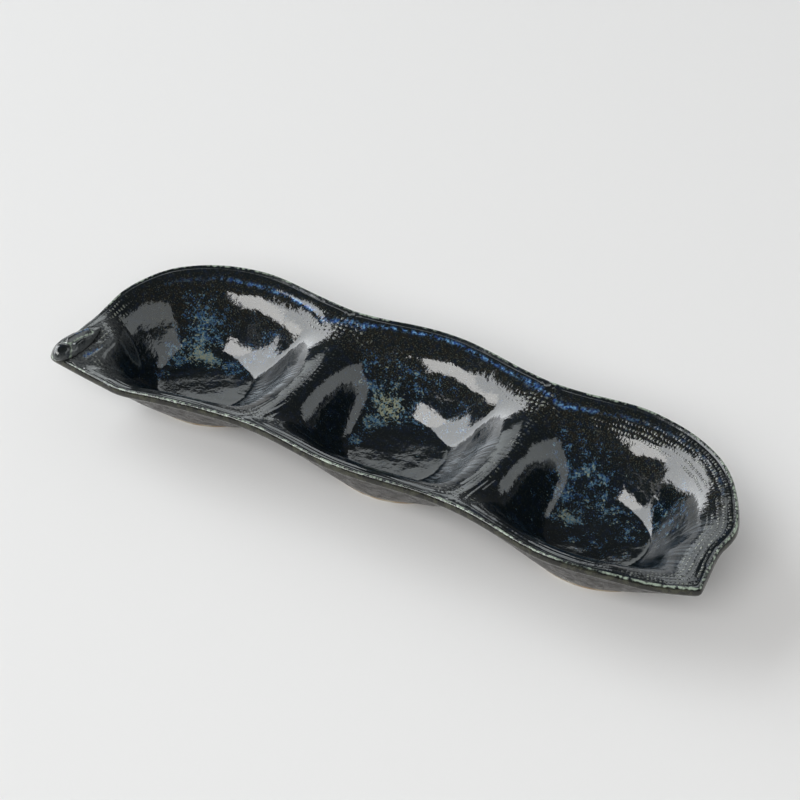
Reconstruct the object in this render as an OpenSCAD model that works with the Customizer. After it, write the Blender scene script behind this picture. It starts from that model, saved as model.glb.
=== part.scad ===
// Three-compartment dish in the shape of a bean pod.
// Pressed stoneware with three oval wells, a moulded rim, a stalk at one corner
// and three low foot rings. Lengths are in mm, +Z is up, +X runs along the pod
// towards its beak, and the origin is at the middle of the base.

/* [Plan of the pod] */
// distance between neighbouring wells
well_pitch = 86.5; // [80:0.5:100]
// width over the rim at a well
pod_width = 88; // [82:0.5:100]
// width over the rim between two wells
waist_width = 78; // [70:0.5:86]
// how far the waists lie towards the beak from halfway
waist_shift = 2; // [-4:0.5:4]
// how far the middle well sits back from the end wells
bow = 2.8; // [0:0.2:6]
// left well's middle to the rim at the stalk end
left_reach = 41.5; // [39:0.5:50]
// right well's middle to the rim at the beak end
right_reach = 50; // [46:0.5:56]

/* [Corners of the pod] */
// left well's middle to the stalk corner, along the pod
stalk_corner_x = 42.5; // [40:0.5:50]
// left well's middle to the stalk corner, across the pod
stalk_corner_y = 39.5; // [36:0.5:42]
// right well's middle to the beak, along the pod
beak_x = 52; // [49:0.5:60]
// right well's middle to the beak, across the pod
beak_y = 30; // [26:0.5:38]
// length of the beak's level tip
beak_tip = 4; // [2:0.5:8]
// how far both corners dip below the rim
corner_drop = 2.5; // [0:0.5:5]
// length of the slope down to the stalk's seat
stalk_slope = 31; // [24:1:40]
// length of the slope down to the beak's tip
beak_slope = 36; // [24:1:45]
// distance from a corner over which the moulding turns towards the well
corner_turn = 30; // [22:1:40]

/* [Rim] */
// height of the rim above the table
rim_height = 33; // [28:0.5:45]
// thickness of the rim's edge
rim_edge = 4.6; // [3.5:0.1:7]
// how far the rounded edge bulges past the crest
edge_bulge = 0.8; // [0.3:0.1:1.5]
// crest to the moulded groove
groove_inset = 4.5; // [3.5:0.1:5.5]
// depth of the groove below the crest
groove_depth = 2.8; // [1:0.1:3]
// width of the whole moulded border
border_width = 7; // [6:0.1:9]
// rise from the groove to the border's inner edge
border_rise = 0.2; // [0.2:0.1:1]
// fall of the rim's underside towards the cups
under_fall = 0.4; // [0.2:0.1:1]

/* [Wells] */
// inside floor above the table
floor_height = 5; // [4.5:0.1:8]
// floor size along the pod
floor_length = 42; // [32:0.5:46]
// floor size across the pod
floor_width = 38; // [28:0.5:42]
// width of the crest between two wells' lips
saddle_land = 4.5; // [4:0.1:12]
// border's inner edge to the lip, across the pod
side_land = 1.2; // [0.8:0.1:4]
// border's inner edge to the left well's lip, at the stalk end
left_land = 2; // [1:0.1:6]
// border's inner edge to the right well's lip, at the beak end
right_land = 3.5; // [1:0.1:8]
// least strip left between the border and a lip
least_land = 0.6; // [0.4:0.1:0.8]
// how far each lip runs out towards the front and the beak
lip_flow = 5; // [0:0.5:6]
// direction of that run, in degrees from the pod's length
flow_angle = -44; // [-60:1:-30]
// how far the lip lies below the border's inner edge
lip_fall = 0.6; // [0.2:0.1:1.5]
// dip of the saddle between two wells
saddle_dip = 4; // [0:0.1:5]
// how far the middle of a saddle bows towards the beak
saddle_bow = 3; // [-3:0.1:5]

/* [Underside] */
// base size along the pod
foot_length = 53; // [46:0.5:58]
// base size across the pod
foot_width = 43; // [40:0.5:48]
// height of a foot ring
foot_height = 1.5; // [1:0.1:2]
// width of a foot ring
foot_ring_width = 4.5; // [3:0.1:8]
// how far the left cup's base sits back from its well
left_foot_back = 3; // [0:0.5:4]
// thickness of a cup's wall at the lip, measured level
cup_wall = 4; // [3:0.1:6]
// thickness of the slab between the wells
web_thickness = 5; // [4:0.1:7]
// least strip of slab left outside a cup
least_slab = 0.8; // [0.5:0.1:1.5]

/* [Stalk] */
// length of the stalk's knob
stalk_length = 26; // [16:0.5:30]
// width of the knob at its thickest
stalk_width = 10; // [6:0.5:12]
// how far the knob stands out past the corner
stalk_overhang = 3; // [1:0.5:5]
// middle of the knob to the edge of the stalk end
stalk_inset = 4.5; // [3.5:0.1:6]
// turn of the knob inwards from that edge, in degrees
stalk_turn = 4; // [0:0.5:8]
// level strip left beside the knob
seat_margin = 2.5; // [1:0.1:3]
// length over which the border widens into the knob's seat
seat_blend = 12; // [8:0.5:16]
// width of the hollow in the knob's outer end
stalk_hollow = 4.5; // [2:0.1:6]
// middle of the hollow to the knob's outer end
hollow_inset = 2; // [1:0.1:3]
// middle of the hollow above the seat
hollow_rise = 3; // [2:0.1:4]

/* [Glaze] */
// thickness of each glaze coat, measured upright
glaze_thickness = 0.6; // [0.4:0.1:0.9]

/* [Hidden] */

// mesh density: stations to a span of the rim, and steps across a saddle
span_steps = 4;
saddle_steps = 8;

// shape shares, which have no length of their own
// front edge on its way from a well to a corner: share along, share across
stalk_shoulder = [0.4, 0.3];
beak_shoulder = [0.58, 0.36];
// bends of the two ends: angle round the well, share between the reaches on either side
beak_bend = [-13, 0.1];
right_bend = [6, 0];
right_back_bend = [45, 0.83];
left_back_bend = [133, 0.5];
left_bend = [168, 0];
stalk_bend = [197, 0.12];
// rim's rounded edge: shares of the bulge and of the thickness
edge_profile = [[-1, 0.32], [-0.9, 0.68], [1, 1]];
// shoulder between crest and groove: shares of the groove's inset and depth
shoulder_place = [0.5, 0.45];
// middle of the rim's underside: shares of its width and fall
under_place = [0.5, 0.6];
// rise of the slope between lip and border, halfway along it: share of the lip's fall
land_crown = 0.2;
// straight share of a well's wall and of a cup's outside
wall_straight = 0.25;
cup_straight = 0.5;
// rows up a floor, a wall and a cup's outside, as shares of the way
floor_rows = [0.5, 1];
wall_rows = [0.12, 0.3, 0.5, 0.7, 0.88];
cup_rows = [1, 0.85, 0.68, 0.5, 0.33, 0.16];
// pear shape of the knob: how far its belly leans to the outer end, and how blunt its ends are
knob_lean = 0.7;
knob_blunt = 0.7;
knob_steps = 14;

// small vector helpers
function polar(r, a) = [r * cos(a), r * sin(a)];
function mix(a, b, t) = a + (b - a) * t;
function ease(t) = let(u = max(0, min(1, t))) u * u * (3 - 2 * u);
function unit(v) = v / norm(v);
function up(p, z) = [p[0], p[1], z];
function flat(p) = [p[0], p[1]];

// smooth curve through a list of points, without its last point
function curve(p, steps) = [
    for (i = [0 : len(p) - 2])
        let(a = i > 0 ? p[i - 1] : 2 * p[0] - p[1],
            b = p[i],
            c = p[i + 1],
            d = i + 2 < len(p) ? p[i + 2] : 2 * c - b)
        for (k = [0 : steps - 1])
            let(t = k / steps)
            (2 * b + (c - a) * t + (2 * a - 5 * b + 4 * c - d) * t * t
             + (3 * b - a - 3 * c + d) * t * t * t) / 2
];

// middles of the wells and the two corners, before the part is centred
wells = [[-well_pitch, 0], [0, bow], [well_pitch, 0]];
half = pod_width / 2;
waist = waist_width / 2;
waist_x = well_pitch / 2;
to_stalk = [-stalk_corner_x, -stalk_corner_y];
to_beak = [beak_x, -beak_y];
stalk_corner = wells[0] + to_stalk;
beak = wells[2] + to_beak;

// the rim's crest, as the points that its shape needs
function front_shoulder(b, corner, place) =
    wells[b] + [corner[0] * place[0], mix(-half, corner[1], place[1])];
function end_bend(b, from, to, bend) = wells[b] + polar(mix(from, to, bend[1]), bend[0]);
front_points = [
    stalk_corner,
    front_shoulder(0, to_stalk, stalk_shoulder),
    wells[0] - [0, half],
    [waist_shift - waist_x, bow / 2 - waist],
    wells[1] - [0, half],
    [waist_shift + waist_x, bow / 2 - waist],
    wells[2] - [0, half],
    front_shoulder(2, to_beak, beak_shoulder),
    beak
];
back_points = [
    beak,
    end_bend(2, right_reach, norm(to_beak), beak_bend),
    end_bend(2, right_reach, half, right_bend),
    end_bend(2, right_reach, half, right_back_bend),
    wells[2] + [0, half],
    [waist_shift + waist_x, bow / 2 + waist],
    wells[1] + [0, half],
    [waist_shift - waist_x, bow / 2 + waist],
    wells[0] + [0, half],
    end_bend(0, left_reach, half, left_back_bend),
    end_bend(0, left_reach, half, left_bend),
    end_bend(0, left_reach, norm(to_stalk), stalk_bend),
    stalk_corner
];
crest = concat(curve(front_points, span_steps), curve(back_points, span_steps));
stations = len(crest);
// stations of the two waists, front and back, counted in points of the lists above
waists = [[3, 15], [5, 13]] * span_steps;

// centre of the plan, so that the part can stand on its origin
low = [min([for (p = crest) p[0]]), min([for (p = crest) p[1]])];
high = [max([for (p = crest) p[0]]), max([for (p = crest) p[1]])];
plan_middle = (low + high) / 2;

// how near a point is to a corner: 1 on its level part, 0 past the slope
function nearness(p, corner, level, slope) = ease((level + slope - norm(p - corner)) / slope);
stalk_level = stalk_length - stalk_overhang + seat_margin / 2;
function near_stalk(p, slope) = nearness(p, stalk_corner, stalk_level, slope);
// height of the crest, which dips towards both corners
function crest_z(p) =
    rim_height - corner_drop * (near_stalk(p, stalk_slope) + nearness(p, beak, beak_tip, beak_slope));

// which well a station of the rim belongs to
function well_of(j) = let(i = j % stations)
    (i > waists[0][0] && i < waists[1][0]) || (i > waists[1][1] && i < waists[0][1]) ? 1
    : i < waists[0][0] || i > waists[0][1] ? 0 : 2;
function is_waist(i) = i == waists[0][0] || i == waists[0][1] || i == waists[1][0] || i == waists[1][1];

// way into the pod from the rim, square to it and turned to the well near a corner
function inward(j) = let(
    i = j % stations,
    along = crest[(i + 1) % stations] - crest[(i + stations - 1) % stations],
    square_in = unit([-along[1], along[0]]),
    to_well = unit(wells[well_of(i)] - crest[i]),
    near = min(norm(crest[i] - stalk_corner), norm(crest[i] - beak)))
    is_waist(i) ? square_in : unit(mix(to_well, square_in, ease(near / corner_turn)));

// one point round the rim, at an inset from the crest and a drop below it
function rim(j, inset, drop) = let(i = j % stations)
    up(crest[i] + inset * inward(i), crest_z(crest[i]) - drop);
// the same on the moulded border, which widens to a level seat for the stalk along the end's edge
end_edge = unit(back_points[len(back_points) - 2] - stalk_corner);
edge_inward = [end_edge[1], -end_edge[0]];
stalk_seat = stalk_inset + stalk_width / 2 + seat_margin;
function seat_inset(i) = let(short = stalk_seat - (crest[i] - stalk_corner) * edge_inward)
    short > 0 ? max(border_width, short / (inward(i) * edge_inward)) : border_width;
function border(j, inset, drop) = let(
    i = j % stations,
    near = near_stalk(crest[i], seat_blend),
    width = near > 0 ? mix(border_width, seat_inset(i), near) : border_width)
    rim(i, inset * width / border_width, drop * (1 - near));
inner_drop = groove_depth - border_rise;
function border_edge(j) = border(j, border_width, inner_drop);
under_drop = rim_edge + under_fall;
function under_edge(j) = rim(j, border_width, under_drop);

// saddle lines from front to back, top and underside, bowed towards the beak
function saddle_bend(k) = pow(sin(180 * k / saddle_steps), 2);
function saddle_line(a, b, k) = mix(a, b, k / saddle_steps) + [saddle_bow * saddle_bend(k), 0, 0];
function saddle(s, k) =
    saddle_line(border_edge(waists[s][0]), border_edge(waists[s][1]), k) - [0, 0, saddle_dip * saddle_bend(k)];
function saddle_under(s, k) = let(
    a = under_edge(waists[s][0]),
    b = under_edge(waists[s][1]),
    at_end = k == 0 || k == saddle_steps)
    up(saddle_line(a, b, k), at_end ? a[2] : saddle(s, k)[2] - web_thickness);

// closed loops round the three wells, seen from above against the clock
function run(from, to, lower) = [for (j = [from : to]) lower ? under_edge(j) : border_edge(j)];
function across(s, forth, lower) = [
    for (k = [1 : saddle_steps - 1])
        let(q = forth ? k : saddle_steps - k)
        lower ? saddle_under(s, q) : saddle(s, q)
];
function well_loop(b, lower) =
    b == 0 ? concat(run(waists[0][1], waists[0][0] + stations, lower), across(0, true, lower))
    : b == 1 ? concat(run(waists[0][0], waists[1][0], lower), across(1, true, lower),
                      run(waists[1][1], waists[0][1], lower), across(0, false, lower))
    : concat(run(waists[1][0], waists[1][1], lower), across(1, false, lower));

// oval radius in a direction
function oval(length, width, v) = 1 / norm([2 * v[0] / length, 2 * v[1] / width]);

// a well's lip: its radius in a direction, kept inside its loop at the point e
lip_across = half - border_width - side_land;
lip_along = (well_pitch - saddle_land) / 2;
lip_left = left_reach - border_width - left_land;
lip_right = right_reach - border_width - right_land;
flow_way = polar(1, flow_angle);
function lip_radius(b, e) = let(
    out = flat(e) - wells[b],
    v = unit(out),
    side = v[0] < 0 ? (b == 0 ? lip_left : lip_along) : (b == 2 ? lip_right : lip_along),
    flow = max(0, v * flow_way))
    min(side * v[0] * v[0] + lip_across * v[1] * v[1] + lip_flow * pow(flow, 4), norm(out) - least_land);

// rows of a well's upper face at one point of its loop, from the floor to the border
function wall_rise(t) = mix(ease(t), t, wall_straight);
function upper_rows(b, e) = let(
    v = unit(flat(e) - wells[b]),
    r_floor = oval(floor_length, floor_width, v),
    r_lip = lip_radius(b, e),
    z_lip = e[2] - lip_fall,
    lip = up(wells[b] + r_lip * v, z_lip))
    concat(
        [for (f = floor_rows) up(wells[b] + f * r_floor * v, floor_height)],
        [for (t = wall_rows)
            up(wells[b] + mix(r_floor, r_lip, t) * v, mix(floor_height, z_lip, wall_rise(t)))],
        [lip, mix(lip, e, 0.5) + [0, 0, land_crown * lip_fall], e]);

// rows of a cup's outside at one point of its loop, from the border to the base
foot_middles = [wells[0] + [0, left_foot_back], wells[1], wells[2]];
function foot_point(b, e, ring) = let(v = unit(flat(e) - wells[b]))
    foot_middles[b] + oval(foot_length - 2 * ring, foot_width - 2 * ring, v) * v;
function cup_rise(t) = mix(t * t, t, cup_straight);
function lower_rows(b, e) = let(
    out = flat(e) - wells[b],
    foot = foot_point(b, e, 0),
    r_top = min(lip_radius(b, e) + cup_wall, norm(out) - least_slab),
    top = wells[b] + r_top * unit(out))
    concat(
        [e],
        [for (t = cup_rows) up(mix(foot, top, t), mix(foot_height, e[2], cup_rise(t)))],
        [up(foot, foot_height)]);

// rows round the rim: border, crest, rounded edge and underside
function shoulder_point(j) = border(j, shoulder_place[0] * groove_inset, shoulder_place[1] * groove_depth);
function border_rows(j) = [border_edge(j), border(j, groove_inset, groove_depth), shoulder_point(j)];
function edge_rows(j) = concat(
    [shoulder_point(j), rim(j, 0, 0)],
    [for (e = edge_profile) rim(j, e[0] * edge_bulge, e[1] * rim_edge)]);
function under_rows(j) = [
    rim(j, edge_bulge, rim_edge),
    rim(j, under_place[0] * border_width, mix(rim_edge, under_drop, under_place[1])),
    under_edge(j)
];

// a patch is a list of columns of points; its skin faces out when columns run against the clock
function patch_points(cols) = [for (c = cols) each c];
function patch_faces(count, rows, closed, flip) = [
    for (c = [0 : count - (closed ? 1 : 2)])
        let(d = (c + 1) % count)
        for (r = [0 : rows - 2])
            let(a = c * rows + r,
                b = d * rows + r,
                e = b + 1,
                f = a + 1)
            each flip ? [[a, e, b], [a, f, e]] : [[a, b, e], [a, e, f]]
];
// fan from a middle point to the first row of a closed patch
function fan_faces(count, rows, middle, flip) = [
    for (c = [0 : count - 1])
        let(a = c * rows, b = ((c + 1) % count) * rows)
        flip ? [middle, a, b] : [middle, b, a]
];

// meshes, each a list of points and a list of faces
function shifted(faces, by) = [for (f = faces) [for (i = f) i + by]];
function joined(meshes, i = 0, points = [], faces = []) = i == len(meshes) ? [points, faces]
    : joined(meshes, i + 1, concat(points, meshes[i][0]), concat(faces, shifted(meshes[i][1], len(points))));
function moved(mesh, by) = [[for (p = mesh[0]) p + by], mesh[1]];
function flipped(mesh) = [mesh[0], [for (f = mesh[1]) [f[0], f[2], f[1]]]];
function strip(cols, closed) = [patch_points(cols), patch_faces(len(cols), len(cols[0]), closed, false)];
// a wall between a closed loop and the same loop moved
function wall(loop, by, flip) = [[for (p = loop) each [p, p + by]], patch_faces(len(loop), 2, true, flip)];

// the upper face of one well, the outside of one cup and its base, as open meshes
function well_top(b) = let(
    cols = [for (e = well_loop(b, false)) upper_rows(b, e)],
    rows = len(cols[0]),
    count = len(cols))
    [concat(patch_points(cols), [up(wells[b], floor_height)]),
     concat(patch_faces(count, rows, true, false), fan_faces(count, rows, count * rows, false))];
function cup_outside(b) = strip([for (e = well_loop(b, true)) lower_rows(b, e)], true);
function foot_loop(b, ring) = [for (e = well_loop(b, true)) foot_point(b, e, ring)];
function cup_base(b) = let(loop = foot_loop(b, 0), count = len(loop))
    [[for (p = concat(loop, [foot_middles[b]])) up(p, foot_height)], fan_faces(count, 1, count, true)];

all_stations = [0 : stations - 1];
border_mesh = strip([for (j = all_stations) border_rows(j)], true);
edge_mesh = strip([for (j = all_stations) edge_rows(j)], true);
under_mesh = strip([for (j = all_stations) under_rows(j)], true);
well_tops = [for (b = [0 : 2]) well_top(b)];
cup_outsides = [for (b = [0 : 2]) cup_outside(b)];

module solid(mesh) {
    translate(-up(plan_middle, 0)) polyhedron(points = mesh[0], faces = mesh[1], convexity = 8);
}

// pressed clay body: wells, saddles, moulded rim and cups
module pod_body() {
    color([0.62, 0.56, 0.48]) solid(joined(concat(
        well_tops, [border_mesh, edge_mesh, under_mesh],
        cup_outsides, [for (b = [0 : 2]) cup_base(b)])));
}

// bare foot ring under one cup
module foot_ring(b) {
    color([0.8, 0.76, 0.68]) translate(-up(plan_middle, 0)) linear_extrude(foot_height) difference() {
        polygon(foot_loop(b, 0));
        polygon(foot_loop(b, foot_ring_width));
    }
}
module foot_ring_left() { foot_ring(0); }
module foot_ring_middle() { foot_ring(1); }
module foot_ring_right() { foot_ring(2); }

// stalk, a pear-shaped knob of clay on the level seat, with a hollow in its outer end
stalk_angle = atan2(end_edge[1], end_edge[0]) - stalk_turn;
stalk_foot = stalk_corner + stalk_inset * edge_inward - polar(stalk_overhang, stalk_angle);
function knob_radius(u) = stalk_width / 2 * pow(sin(180 * pow(u, knob_lean)), knob_blunt);
knob_profile = [for (k = [0 : knob_steps]) let(u = k / knob_steps)
    [k == 0 || k == knob_steps ? 0 : knob_radius(u), u * stalk_length]];
module stalk() {
    color([0.12, 0.14, 0.18])
    translate(up(stalk_foot - plan_middle, rim_height - corner_drop))
    rotate([0, 0, stalk_angle])
    difference() {
        rotate([0, 90, 0]) rotate_extrude($fn = 48) polygon(knob_profile);
        translate([-stalk_length, -stalk_width, -stalk_width])
            cube([3 * stalk_length, 2 * stalk_width, stalk_width]);
        translate([hollow_inset, 0, hollow_rise]) sphere(d = stalk_hollow, $fn = 32);
    }
}

// glaze inside the pod, up to the rim's shoulder and round the stalk's seat
lift = [0, 0, glaze_thickness];
// stations from the stalk corner to the first one past a distance, either way round the rim
function stations_past(way, distance, j = 1) =
    norm(crest[(stations + way * j) % stations] - stalk_corner) > distance ? j
    : stations_past(way, distance, j + 1);
glaze_first = stations_past(1, stalk_seat);
glaze_last = stations - stations_past(-1, stalk_level);
glazed = [glaze_first : glaze_last];
shoulder = len(border_rows(0)) - 1;
inner_loop = concat(
    [for (j = glazed) border_rows(j)[shoulder]],
    [for (r = [1 : shoulder]) border_rows(glaze_last)[shoulder - r]],
    [for (j = [glaze_last + 1 : glaze_first + stations]) border_rows(j)[0]],
    [for (r = [1 : shoulder - 1]) border_rows(glaze_first)[r]]);
inner_skin = joined(concat(well_tops, [strip([for (j = glazed) border_rows(j)], false)]));
module inner_glaze() {
    color([0.1, 0.14, 0.22]) solid(joined([
        moved(inner_skin, lift), flipped(inner_skin), wall(inner_loop, lift, true)]));
}

// glaze on the underside, from the rim's lower edge to the feet
rim_loop = [for (j = all_stations) rim(j, edge_bulge, rim_edge)];
outer_skin = joined(concat([under_mesh], cup_outsides));
module outer_glaze() {
    color([0.3, 0.28, 0.26]) solid(joined(concat(
        [moved(outer_skin, -lift), flipped(outer_skin), wall(rim_loop, -lift, false)],
        [for (b = [0 : 2]) wall([for (p = foot_loop(b, 0)) up(p, foot_height)], -lift, true)])));
}

pod_body();
foot_ring_left();
foot_ring_middle();
foot_ring_right();
stalk();
inner_glaze();
outer_glaze();
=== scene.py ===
"""Looks of the three-compartment dish: a glazed stoneware pod with three wells."""
import math
import bpy
import numpy as np
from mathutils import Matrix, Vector
from mathutils.kdtree import KDTree


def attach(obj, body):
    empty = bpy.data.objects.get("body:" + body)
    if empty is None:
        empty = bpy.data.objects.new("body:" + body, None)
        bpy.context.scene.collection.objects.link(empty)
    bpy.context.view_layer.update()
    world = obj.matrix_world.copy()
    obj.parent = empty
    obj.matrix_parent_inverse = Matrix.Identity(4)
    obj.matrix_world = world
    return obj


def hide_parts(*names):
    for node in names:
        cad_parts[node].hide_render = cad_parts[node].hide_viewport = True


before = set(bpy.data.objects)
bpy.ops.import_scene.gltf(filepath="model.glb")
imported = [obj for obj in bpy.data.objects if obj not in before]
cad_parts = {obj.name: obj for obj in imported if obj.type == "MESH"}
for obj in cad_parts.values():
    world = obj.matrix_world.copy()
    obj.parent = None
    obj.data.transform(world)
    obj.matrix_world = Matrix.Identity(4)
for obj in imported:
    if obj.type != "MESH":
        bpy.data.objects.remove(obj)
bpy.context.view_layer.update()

# Sizes of the construction, in mm and degrees
WELL_PITCH = 86.5
POD_WIDTH = 88.0
WAIST_WIDTH = 78.0
WAIST_SHIFT = 2.0
BOW = 2.8
LEFT_REACH = 41.5
RIGHT_REACH = 50.0
STALK_CORNER = (-42.5, -39.5)
BEAK_CORNER = (52.0, -30.0)
BEAK_TIP = 4.0
CORNER_DROP = 2.5
STALK_SLOPE = 31.0
BEAK_SLOPE = 36.0
CORNER_TURN = 30.0
RIM_HEIGHT = 33.0
RIM_EDGE = 4.6
EDGE_BULGE = 0.8
UNDER_WIDTH = 2.5
UNDER_FALL = 0.4
FLOOR_HEIGHT = 5.0
FLOOR_LENGTH = 37.5
FLOOR_WIDTH = 36.2
FLOOR_DISH = 0.6
SADDLE_DIP = 6.6
SADDLE_BOW = 3.0
SADDLE_POWER = 4
FOOT_LENGTH = 53.0
FOOT_WIDTH = 43.0
FOOT_HEIGHT = 1.5
FOOT_RING_WIDTH = 4.5
LEFT_FOOT_BACK = 3.0
WEB_THICKNESS = 5.0
LEAST_SLAB = 0.8
CUP_STRAIGHT = 0.85
STALK_LENGTH = 26.0
STALK_WIDTH = 10.0
STALK_OVERHANG = 3.0
STALK_INSET = 4.5
STALK_TURN = 4.0
SEAT_MARGIN = 2.5
SEAT_BLEND = 12.0
SEAT_FALL = 0.14
SEAT_REACH = 9.0
SEAT_SOFT = 7.0
COAT_THICKNESS = 0.5
COAT_EDGE = 1.3

# Slopes of a well's wall at even steps from the floor to the crest
SADDLE_WALL = (0.48, 1.28, 2.15, 1.60, 0.80, 0.30)
SIDE_WALL = (0.61, 1.44, 1.95, 0.85, 0.39, 0.92)
LEFT_WALL = (0.60, 1.40, 1.60, 1.20, 0.85, 0.45)
RIGHT_WALL = (0.45, 1.60, 1.70, 1.10, 0.40, 0.50)
LENGTHWAYS_WALLS = ((LEFT_WALL, SADDLE_WALL), (SADDLE_WALL, SADDLE_WALL), (SADDLE_WALL, RIGHT_WALL))

# Mesh density
SPAN_STEPS = 20
SADDLE_STEPS = 40
PROFILE_STEPS = 60
FLOOR_ROWS = 16
FLOOR_START = 0.04
WALL_ROWS = 60
WALL_BLUR = 4
EDGE_ROWS = 16
UNDER_ROWS = 8
SLAB_ROWS = 3
CUP_ROWS = 30
SMOOTHING = 6
SADDLE_SMOOTHING = 90
MERGE_STEPS_PER_MM = 500
KNOB_STEPS = 90
KNOB_SIDES = 72

# Level of a point: its place on the way from a well's middle, over the rim, to the base of the cup
FLOOR_END = 1
CREST_LEVEL = 4
UNDER_LEVEL = 5
CUP_LEVEL = 6
BASE_LEVEL = 7
LEVEL_SLACK = 0.001

# Hash of the noise
CELL_OFFSET = 1000.0
CELL_FACTORS = np.array([73856093, 19349663, 83492791])
SEED_FACTOR = 2654435
SCATTER_FACTOR = 1274126177


# Small helpers
def mix(a, b, t):
    return a + (b - a) * t


def ease(t):
    """Smooth step from 0 to 1."""
    u = np.clip(t, 0.0, 1.0)
    return u * u * (3.0 - 2.0 * u)


def rising(x, start, width):
    return ease((x - start) / width)


def falling(x, end, width):
    return ease((end - x) / width)


def band(x, low, high, soft):
    """1 between low and high, with soft ends."""
    return ease((x - low) / soft + 0.5) * ease((high - x) / soft + 0.5)


def bell(x, middle, spread):
    return np.exp(-((x - middle) / spread) ** 2)


def patch_at(x, y, x0, y0, wide, tall):
    """Soft round patch of height 1 about x0, y0."""
    return np.exp(-((x - x0) / wide) ** 2 - ((y - y0) / tall) ** 2)


def length(v):
    return np.linalg.norm(v, axis=-1)


def unit(v):
    return v / length(v)[..., None]


def oval(long, wide, v):
    """Reach of an oval in each direction v."""
    return 1 / np.hypot(2 * v[:, 0] / long, 2 * v[:, 1] / wide)


def segment_distance(p, a, b):
    a = np.asarray(a, float)
    b = np.asarray(b, float)
    t = np.clip((p - a) @ (b - a) / ((b - a) @ (b - a)), 0, 1)
    return length(p - (a + t[:, None] * (b - a)))


def way_along(points):
    """Length of a line of points up to each of them."""
    return np.concatenate([[0], np.cumsum(length(np.diff(points, axis=0)))])


def smooth_curve(points, steps, closing=False):
    """Catmull-Rom curve through points; the last point only when closing."""
    p = np.asarray(points, float)
    q = np.vstack([2 * p[0] - p[1], p, 2 * p[-1] - p[-2]])
    t = (np.arange(steps) / steps)[:, None]
    out = []
    for i in range(len(p) - 1):
        a, b, c, d = q[i:i + 4]
        out.append((2 * b + (c - a) * t + (2 * a - 5 * b + 4 * c - d) * t ** 2
                    + (3 * b - a - 3 * c + d) * t ** 3) / 2)
    if closing:
        out.append(p[-1:])
    return np.vstack(out)


def value_noise(points, size, seed):
    """Smooth noise from -1 to 1, with lumps about one size wide."""
    p = points / size + CELL_OFFSET
    cell = np.floor(p).astype(np.int64)
    f = p - cell
    f = f * f * (3 - 2 * f)
    total = np.zeros(len(p))
    for corner in np.ndindex(2, 2, 2):
        h = np.bitwise_xor.reduce((cell + corner) * CELL_FACTORS, 1) ^ (seed * SEED_FACTOR)
        h = ((h ^ (h >> 13)) * SCATTER_FACTOR) & 0xFFFFFFFF
        value = ((h ^ (h >> 16)) & 0xFFFF) / 32767.5 - 1
        total += value * np.abs(1 - np.array(corner) - f).prod(1)
    return total


def quads_of(index):
    """Faces between the neighbours in a grid of point numbers."""
    return np.stack([index[:-1, :-1], index[:-1, 1:], index[1:, 1:], index[1:, :-1]], -1).reshape(-1, 4)


# Rim in plan
WELLS = np.array([[-WELL_PITCH, 0.0], [0.0, BOW], [WELL_PITCH, 0.0]])
HALF = POD_WIDTH / 2
WAIST = WAIST_WIDTH / 2
STALK_AT = WELLS[0] + STALK_CORNER
BEAK_AT = WELLS[2] + BEAK_CORNER


def end_bend(well, near, far, degrees, share):
    """Point at an angle from a well and at a share of the way from near to far."""
    a = math.radians(degrees)
    return WELLS[well] + mix(near, far, share) * np.array([math.cos(a), math.sin(a)])


def front_shoulder(well, corner, along, across):
    """Point of the front edge between a well and a corner."""
    return WELLS[well] + np.array([corner[0] * along, mix(-HALF, corner[1], across)])


def long_side(side):
    """Bows and waists of the front (-1) or back (1) edge."""
    bows = WELLS + [0, side * HALF]
    left, right = ([WAIST_SHIFT + x, BOW / 2 + side * WAIST] for x in (-WELL_PITCH / 2, WELL_PITCH / 2))
    return [bows[0], left, bows[1], right, bows[2]]


def rim_points():
    """Points that the crest passes through, along the front and then along the back."""
    to_stalk = math.hypot(*STALK_CORNER)
    to_beak = math.hypot(*BEAK_CORNER)
    front = [
        STALK_AT,
        front_shoulder(0, STALK_CORNER, along=0.4, across=0.3),
        *long_side(-1),
        front_shoulder(2, BEAK_CORNER, along=0.58, across=0.36),
        BEAK_AT,
    ]
    back = [
        BEAK_AT,
        end_bend(2, RIGHT_REACH, to_beak, degrees=-13, share=0.1),
        end_bend(2, RIGHT_REACH, HALF, degrees=6, share=0),
        end_bend(2, RIGHT_REACH, HALF, degrees=45, share=0.83),
        *reversed(long_side(1)),
        end_bend(0, LEFT_REACH, HALF, degrees=133, share=0.5),
        end_bend(0, LEFT_REACH, HALF, degrees=168, share=0),
        end_bend(0, LEFT_REACH, to_stalk, degrees=197, share=0.12),
        STALK_AT,
    ]
    return np.array(front, float), np.array(back, float)


FRONT_POINTS, BACK_POINTS = rim_points()
FRONT_SPANS = len(FRONT_POINTS) - 1
CREST = np.vstack([smooth_curve(FRONT_POINTS, SPAN_STEPS), smooth_curve(BACK_POINTS, SPAN_STEPS)])
STATIONS = len(CREST)
MIDDLE = (CREST.min(0) + CREST.max(0)) / 2

# Stations of the left and the right waist: front, back
WAISTS = np.array([[3, FRONT_SPANS + 7], [5, FRONT_SPANS + 5]]) * SPAN_STEPS
(FRONT_LEFT, BACK_LEFT), (FRONT_RIGHT, BACK_RIGHT) = WAISTS

# Seat of the stalk
SEAT_HEIGHT = RIM_HEIGHT - CORNER_DROP
SEAT_RADIUS = STALK_LENGTH - STALK_OVERHANG + SEAT_MARGIN / 2
END_EDGE = unit(BACK_POINTS[-2] - STALK_AT)
EDGE_INWARD = np.array([END_EDGE[1], -END_EDGE[0]])


def nearness(points, corner, flat, slope):
    """1 within the radius flat of a corner, then down to 0 over a slope."""
    return falling(length(points - corner), flat + slope, slope)


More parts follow.
